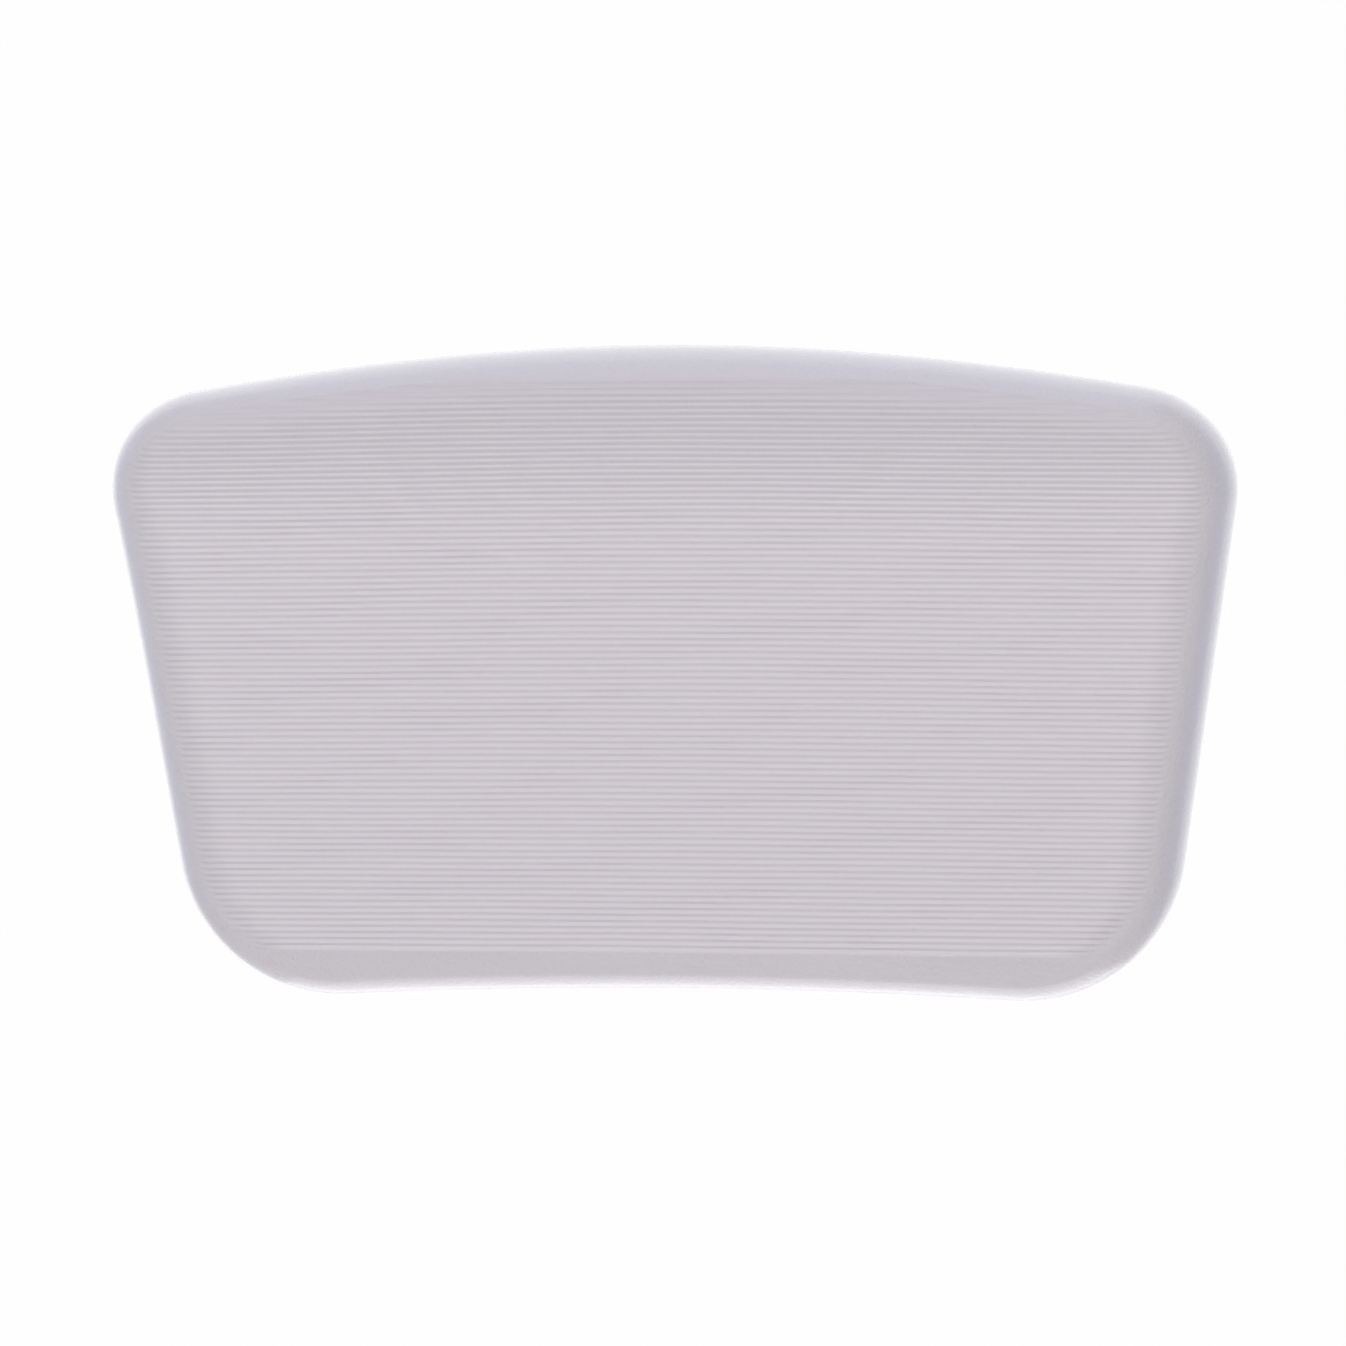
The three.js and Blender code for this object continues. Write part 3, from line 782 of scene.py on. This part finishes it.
def roughness_from(tree, surface, value, low, high):
    """Roughness that follows a value from 0 to 1."""
    spread = node(tree, "ShaderNodeMapRange", To_Min=low, To_Max=high)
    tree.links.new(value, spread.inputs["Value"])
    link(tree, spread, "Result", surface, "Roughness")


def bump_from(tree, surface, height, strength, distance):
    bump = node(tree, "ShaderNodeBump", Strength=strength, Distance=distance)
    tree.links.new(height, bump.inputs["Height"])
    link(tree, bump, "Normal", surface, "Normal")


def skin_finish(base, border_and_painted_shade):
    """Soft moulded skin: satin ribs, and a darker border (partly painted shade) with a thin gloss
    and a leathery grain.
    """
    material, tree, surface = new_finish(
        "moulded skin", IOR=1.45, Specular_IOR_Level=0.5, Coat_Roughness=0.2
    )
    ribs = node(tree, "ShaderNodeAttribute", attribute_name="ribs")
    # The tone mark carries painted shade: darker down from the top and in from the sides
    inside = node(tree, "ShaderNodeAttribute", attribute_name="tone")

    # Colour, from the border's darker colour to the ribs'. The darker colour is partly the border's
    # own tone, and painted shade where it runs in from the top and the sides
    shade = node(tree, "ShaderNodeMix", data_type="RGBA")
    shade.inputs["A"].default_value = border_and_painted_shade
    shade.inputs["B"].default_value = base
    tone = placed_group(tree, tone_drift_group(), Scale=55.0, Drift=0.02)
    link(tree, inside, "Fac", shade, "Factor")
    link(tree, shade, "Result", tone, "Color")
    link(tree, tone, "Color", surface, "Base Color")
    roughness_from(tree, surface, tone.outputs["Value"], low=0.40, high=0.50)

    # Thin gloss off the ribs
    smooth = node(tree, "ShaderNodeMath", operation="SUBTRACT")
    smooth.inputs[0].default_value = 1.0
    link(tree, ribs, "Fac", smooth, 1)
    link(tree, smooth, 0, surface, "Coat Weight")

    # Grain, fainter on the ribs
    grain = placed_group(
        tree, moulded_grain_group(), Grain_Scale=1100.0, Crease_Scale=330.0, Crease_Share=0.6
    )
    plain = node(tree, "ShaderNodeMapRange", To_Min=1.0, To_Max=0.25)
    height = node(tree, "ShaderNodeMath", operation="MULTIPLY")
    link(tree, ribs, "Fac", plain, "Value")
    link(tree, plain, "Result", height, 0)
    link(tree, grain, "Height", height, 1)
    bump_from(tree, surface, height.outputs[0], strength=0.6, distance=0.0008)
    return material


def grained_finish(name, base, drift, roughness, grain, bump, **values):
    """A surface whose tone and gloss drift a little, with a moulded grain."""
    material, tree, surface = new_finish(name, **values)
    tone = placed_group(tree, tone_drift_group(), Color=base, **drift)
    link(tree, tone, "Color", surface, "Base Color")
    roughness_from(tree, surface, tone.outputs["Value"], **roughness)
    relief = placed_group(tree, moulded_grain_group(), **grain)
    bump_from(tree, surface, relief.outputs["Height"], **bump)
    return material


def foam_finish(base):
    """Open-cell foam under the skin."""
    return grained_finish(
        "open cell foam",
        base,
        drift={"Scale": 90.0, "Drift": 0.15},
        roughness={"low": 0.85, "high": 1.0},
        grain={"Grain_Scale": 900.0, "Crease_Share": 0.2},
        bump={"strength": 0.8, "distance": 0.0006},
        Specular_IOR_Level=0.2,
    )


def plate_finish(base):
    """Black moulded plastic."""
    return grained_finish(
        "moulded plate",
        base,
        drift={"Scale": 60.0, "Drift": 0.2},
        roughness={"low": 0.42, "high": 0.58},
        grain={"Grain_Scale": 2200.0, "Crease_Share": 0.2},
        bump={"strength": 0.25, "distance": 0.0002},
    )


def peg_finish(base):
    """Natural acetal: waxy, slightly see-through, with faint moulding marks."""
    return grained_finish(
        "natural acetal",
        base,
        drift={"Scale": 120.0, "Drift": 0.06},
        roughness={"low": 0.34, "high": 0.46},
        grain={"Grain_Scale": 2600.0, "Crease_Share": 0.35},
        bump={"strength": 0.12, "distance": 0.0002},
        IOR=1.48,
        Subsurface_Weight=0.15,
        Subsurface_Radius=(1.0, 0.9, 0.7),
        Subsurface_Scale=0.002,
    )


def metal_finish(name, base, low, high):
    """Turned metal with fine rings from the tool and slightly uneven gloss."""
    material, tree, surface = new_finish(name, Metallic=1.0)
    tone = placed_group(tree, tone_drift_group(), Color=base, Scale=400.0, Drift=0.12)
    link(tree, tone, "Color", surface, "Base Color")
    roughness_from(tree, surface, tone.outputs["Value"], low, high)
    place = node(tree, "ShaderNodeTexCoord")
    rings = node(tree, "ShaderNodeTexWave", bands_direction="Y", Scale=1400.0, Distortion=0.6)
    link(tree, place, "Object", rings, "Vector")
    bump_from(tree, surface, rings.outputs["Fac"], strength=0.08, distance=0.0001)
    return material


def finish(slot):
    """The material of one of the finish slots, made once."""
    finishes = bpy.context.scene.headrest_finishes
    base = (*getattr(finishes, slot), 1.0)
    name = f"{slot}_finish"
    if name in bpy.data.materials:
        return bpy.data.materials[name]
    if slot == "skin":
        # The border colour is partly painted shade
        material = skin_finish(base, (*finishes.border_and_painted_shade, 1.0))
    elif slot in METAL_ROUGHNESS:
        material = metal_finish(name, base, *METAL_ROUGHNESS[slot])
    else:
        moulded = {"foam": foam_finish, "plate": plate_finish, "peg": peg_finish}
        material = moulded[slot](base)
    material.name = name
    return material


# Operators


class HEADREST_OT_skin(bpy.types.Operator):
    """Model the ribbed skin of the pad as a shell with a hole for each peg's flange"""

    bl_idname = "headrest.skin"
    bl_label = "Pad skin"

    def execute(self, context):
        sizes = context.scene.headrest_pad
        pegs = context.scene.headrest_pegs
        form = PadForm(sizes)
        rows = ROWS_PER_RIB * form.rib_count
        skin = pad_layer("pad_skin_body", form, 0.0, SKIN_COLUMNS, rows, SKIN_RINGS, ribbed=True)

        # Back of the skin, with a hole round each flange
        hole = pegs.flange / 2 + sizes.flange_gap
        for centre in peg_centres().values():
            bpy.ops.mesh.primitive_circle_add(
                vertices=PEG_SIDES, radius=hole, location=centre, rotation=(math.pi / 2, 0, 0)
            )
        select_open_edges(skin, 0.0)
        bpy.ops.mesh.fill(use_beauty=True)
        select_open_edges(skin, 0.0)
        bpy.ops.mesh.extrude_edges_indiv()
        bpy.ops.transform.translate(value=(0, -sizes.skin, 0))
        bpy.ops.object.mode_set(mode="OBJECT")

        # Inside of the skin
        lining = pad_layer(
            "pad_skin_lining",
            form,
            sizes.skin,
            LINING_COLUMNS,
            LINING_ROWS,
            LINING_RINGS,
            ribbed=False,
        )
        bpy.ops.object.mode_set(mode="OBJECT")
        make_active(skin)
        lining.select_set(True)
        bpy.ops.object.join()
        bpy.ops.object.mode_set(mode="EDIT")
        select_open_edges(skin, -sizes.skin)
        bpy.ops.mesh.fill(use_beauty=True)
        face_outwards()
        finish_piece(skin, "pad_skin", "skin", SMOOTH_SKIN)
        return {"FINISHED"}


class HEADREST_OT_core(bpy.types.Operator):
    """Model the foam core, with a rough open-cell surface, on the shape of its CAD node"""

    bl_idname = "headrest.core"
    bl_label = "Foam core"

    def execute(self, context):
        make_active(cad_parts["foam_core"])
        bpy.ops.object.duplicate()
        core = bpy.context.object
        core.name = core.data.name = "foam_core_body"
        bpy.ops.object.mode_set(mode="EDIT")
        bpy.ops.mesh.select_all(action="SELECT")
        bpy.ops.mesh.remove_doubles(threshold=1e-6)
        bpy.ops.mesh.subdivide(number_cuts=2)
        bpy.ops.transform.vertex_random(offset=0.0001, normal=1.0, seed=3)
        bpy.ops.object.mode_set(mode="OBJECT")
        finish_piece(core, "foam_core", "foam")
        return {"FINISHED"}


class HEADREST_OT_hidden_fittings(bpy.types.Operator):
    """Finish the insert plate and the threaded inserts, which keep their CAD shape"""

    bl_idname = "headrest.hidden_fittings"
    bl_label = "Insert plate and threaded inserts"

    def execute(self, context):
        finished = {"insert_plate": "plate"}
        finished.update({f"threaded_insert_{place}": "brass" for place in PLACES})
        for name, slot in finished.items():
            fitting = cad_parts[name]
            fitting.data.materials.clear()
            fitting.data.materials.append(finish(slot))
        return {"FINISHED"}


class HEADREST_OT_pegs(bpy.types.Operator):
    """Model the split snap pegs with their flanges"""

    bl_idname = "headrest.pegs"
    bl_label = "Snap pegs"

    def execute(self, context):
        s = context.scene.headrest_pegs
        seat = -s.flange_thickness
        bulb_start = s.grip + s.bulb_ramp
        end = bulb_start + s.bulb_land + s.tip_length
        stations = (
            (s.screw_hole / 2, seat),
            (s.flange / 2, seat),
            (s.flange / 2, 0),
            (s.shank / 2, 0),
            (s.shank / 2, s.grip),
            (s.bulb / 2, bulb_start),
            (s.bulb / 2, bulb_start + s.bulb_land),
            (s.tip / 2, end),
            (s.bore / 2, end),
            (s.bore / 2, seat + s.floor),
            (s.screw_hole / 2, seat + s.floor),
        )
        peg = turned("snap_peg", stations, PEG_SIDES, closed=True)
        cut_cross(peg, 2 * s.bulb, s.slit, s.slit_start, end + s.slit)
        round_edges(peg, s.edge)
        copies_at_pegs(peg, "snap_peg", "peg")
        return {"FINISHED"}


class HEADREST_OT_washers(bpy.types.Operator):
    """Model the washer under each screw's head"""

    bl_idname = "headrest.washers"
    bl_label = "Washers"

    def execute(self, context):
        s = context.scene.headrest_pegs
        low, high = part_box("screw_washer_upper_left")
        stations = (
            (s.screw_hole / 2, low.y),
            (s.washer / 2, low.y),
            (s.washer / 2, high.y),
            (s.screw_hole / 2, high.y),
        )
        washer = turned("screw_washer", stations, SMALL_SIDES, closed=True)
        round_edges(washer, WASHER_EDGE * s.washer_thickness)
        copies_at_pegs(washer, "screw_washer", "steel")
        return {"FINISHED"}


class HEADREST_OT_screws(bpy.types.Operator):
    """Model the pan-head screws with their cross drive"""

    bl_idname = "headrest.screws"
    bl_label = "Screws"

    def execute(self, context):
        s = context.scene.headrest_pegs
        low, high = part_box("peg_screw_upper_left")
        under_head = high.y - s.head_height
        tip = SCREW_TIP * s.screw
        crown = []
        for step in range(CROWN_STEPS + 1):
            turn = math.pi / 2 * step / CROWN_STEPS
            radius = s.head / 2 - s.head_crown * (1 - math.cos(turn))
            crown.append((radius, high.y - s.head_crown * (1 - math.sin(turn))))
        stations = (
            (s.screw / 2 - tip, low.y),
            (s.screw / 2, low.y + tip),
            (s.screw / 2, under_head),
            (s.head / 2, under_head),
            *crown,
        )
        screw = turned("peg_screw", stations, SMALL_SIDES)
        drive_floor, drive_end = high.y - s.drive_depth, high.y + s.drive_depth
        cut_cross(screw, s.drive_length, s.drive_width, drive_floor, drive_end)
        round_edges(screw, SCREW_EDGE * s.head_crown)
        copies_at_pegs(screw, "peg_screw", "steel")
        return {"FINISHED"}


class HEADREST_OT_studio(bpy.types.Operator):
    """Set up the white studio: floor, soft lamps and the camera"""

    bl_idname = "headrest.studio"
    bl_label = "Studio"

    def execute(self, context):
        studio = context.scene.headrest_studio
        context.scene.view_settings.view_transform = "Standard"
        self.add_world(context, studio)
        self.add_floor(studio)
        for name, (place, width, tint, mirrored) in LAMPS.items():
            label = name.replace("_", " ") + " lamp"
            self.add_lamp(label, place, width, getattr(studio, name), tint, mirrored)
        self.add_camera(context, studio)
        return {"FINISHED"}

    def seen_directly(self, tree):
        """1 for rays that show the background itself, straight, mirrored or through glass."""
        path = tree.nodes.new("ShaderNodeLightPath")
        either = node(tree, "ShaderNodeMath", operation="MAXIMUM")
        any_of = node(tree, "ShaderNodeMath", operation="MAXIMUM")
        link(tree, path, "Is Camera Ray", either, 0)
        link(tree, path, "Is Glossy Ray", either, 1)
        link(tree, either, 0, any_of, 0)
        link(tree, path, "Is Transmission Ray", any_of, 1)
        return any_of.outputs[0]

    def add_world(self, context, studio):
        world = bpy.data.worlds.new("white studio")
        world.use_nodes = True
        context.scene.world = world
        tree = world.node_tree
        tree.nodes.clear()
        light = node(tree, "ShaderNodeBackground", Color=(*WHITE, 1.0), Strength=studio.ambient)
        white = node(tree, "ShaderNodeBackground", Color=(*WHITE, 1.0), Strength=1.0)
        mix = tree.nodes.new("ShaderNodeMixShader")
        out = tree.nodes.new("ShaderNodeOutputWorld")
        tree.links.new(self.seen_directly(tree), mix.inputs[0])
        link(tree, light, 0, mix, 1)
        link(tree, white, 0, mix, 2)
        link(tree, mix, 0, out, "Surface")

    def add_floor(self, studio):
        clear_selection()
        bpy.ops.mesh.primitive_circle_add(
            vertices=FLOOR_SIDES,
            radius=FLOOR_RADIUS,
            fill_type="NGON",
            location=(0, 0, studio.floor_level),
        )
        floor = bpy.context.object
        floor.name = "floor"
        material = bpy.data.materials.new("pale floor")
        material.use_nodes = True
        tree = material.node_tree
        tree.nodes.clear()
        paint = node(tree, "ShaderNodeBsdfDiffuse", Color=(*FLOOR_PAINT, 1.0))
        glow = node(tree, "ShaderNodeEmission", Color=(*WHITE, 1.0), Strength=1.0)
        part = node(tree, "ShaderNodeMath", operation="MULTIPLY")
        part.inputs[1].default_value = FLOOR_GLOW
        mix = tree.nodes.new("ShaderNodeMixShader")
        out = tree.nodes.new("ShaderNodeOutputMaterial")
        tree.links.new(self.seen_directly(tree), part.inputs[0])
        link(tree, part, 0, mix, 0)
        link(tree, paint, 0, mix, 1)
        link(tree, glow, 0, mix, 2)
        link(tree, mix, 0, out, "Surface")
        floor.data.materials.append(material)

    def add_lamp(self, name, place, size, watts, tint, mirrored):
        """A square lamp that looks at the origin, hidden from the camera."""
        clear_selection()
        bpy.ops.object.light_add(type="AREA", location=place)
        lamp = bpy.context.object
        lamp.name = name
        lamp.data.shape = "SQUARE"
        lamp.data.size = size
        lamp.data.energy = watts
        lamp.data.color = tint
        lamp.visible_glossy = mirrored
        lamp.visible_camera = False
        lamp.rotation_euler = Vector(place).to_track_quat("Z", "Y").to_euler()

    def add_camera(self, context, studio):
        azimuth = studio.camera_azimuth
        elevation = studio.camera_elevation
        roll = studio.camera_roll
        right = Vector((math.cos(azimuth), math.sin(azimuth), 0))
        back = Vector(
            (
                math.sin(azimuth) * math.cos(elevation),
                -math.cos(azimuth) * math.cos(elevation),
                math.sin(elevation),
            )
        )
        up = back.cross(right)
        tilted_right = math.cos(roll) * right + math.sin(roll) * up
        tilted_up = back.cross(tilted_right)
        clear_selection()
        bpy.ops.object.camera_add(location=Vector(studio.target) + studio.camera_distance * back)
        camera = bpy.context.object
        camera.rotation_euler = Matrix((tilted_right, tilted_up, back)).transposed().to_euler()
        camera.data.sensor_width = SENSOR_WIDTH
        camera.data.lens = studio.focal_length
        context.scene.camera = camera


class HEADREST_PT_panel(bpy.types.Panel):
    """Sidebar panel that lists the headrest's pieces and settings"""

    bl_idname = "HEADREST_PT_panel"
    bl_label = "Hot tub headrest"
    bl_space_type = "VIEW_3D"
    bl_region_type = "UI"
    bl_category = "Headrest"

    def draw(self, context):
        layout = self.layout
        for operator in OPERATORS:
            layout.operator(operator.bl_idname)
        for settings in SETTINGS:
            group = getattr(context.scene, settings)
            box = layout.box()
            for key in group.bl_rna.properties.keys():
                if key not in {"rna_type", "name"}:
                    box.prop(group, key)


OPERATORS = (
    HEADREST_OT_skin,
    HEADREST_OT_core,
    HEADREST_OT_hidden_fittings,
    HEADREST_OT_pegs,
    HEADREST_OT_washers,
    HEADREST_OT_screws,
    HEADREST_OT_studio,
)

SETTINGS = {
    "headrest_pad": HeadrestPadSizes,
    "headrest_pegs": HeadrestPegSizes,
    "headrest_finishes": HeadrestFinishes,
    "headrest_studio": HeadrestStudio,
}


def register():
    for group in SETTINGS.values():
        bpy.utils.register_class(group)
    for name, group in SETTINGS.items():
        setattr(bpy.types.Scene, name, bpy.props.PointerProperty(type=group))
    for operator in OPERATORS:
        bpy.utils.register_class(operator)
    bpy.utils.register_class(HEADREST_PT_panel)


def unregister():
    bpy.utils.unregister_class(HEADREST_PT_panel)
    for operator in reversed(OPERATORS):
        bpy.utils.unregister_class(operator)
    for name in SETTINGS:
        delattr(bpy.types.Scene, name)
    for group in reversed(SETTINGS.values()):
        bpy.utils.unregister_class(group)


def main():
    register()
    bpy.ops.headrest.skin()
    bpy.ops.headrest.core()
    bpy.ops.headrest.hidden_fittings()
    bpy.ops.headrest.pegs()
    bpy.ops.headrest.washers()
    bpy.ops.headrest.screws()
    bpy.ops.headrest.studio()


if __name__ == "__main__":
    main()
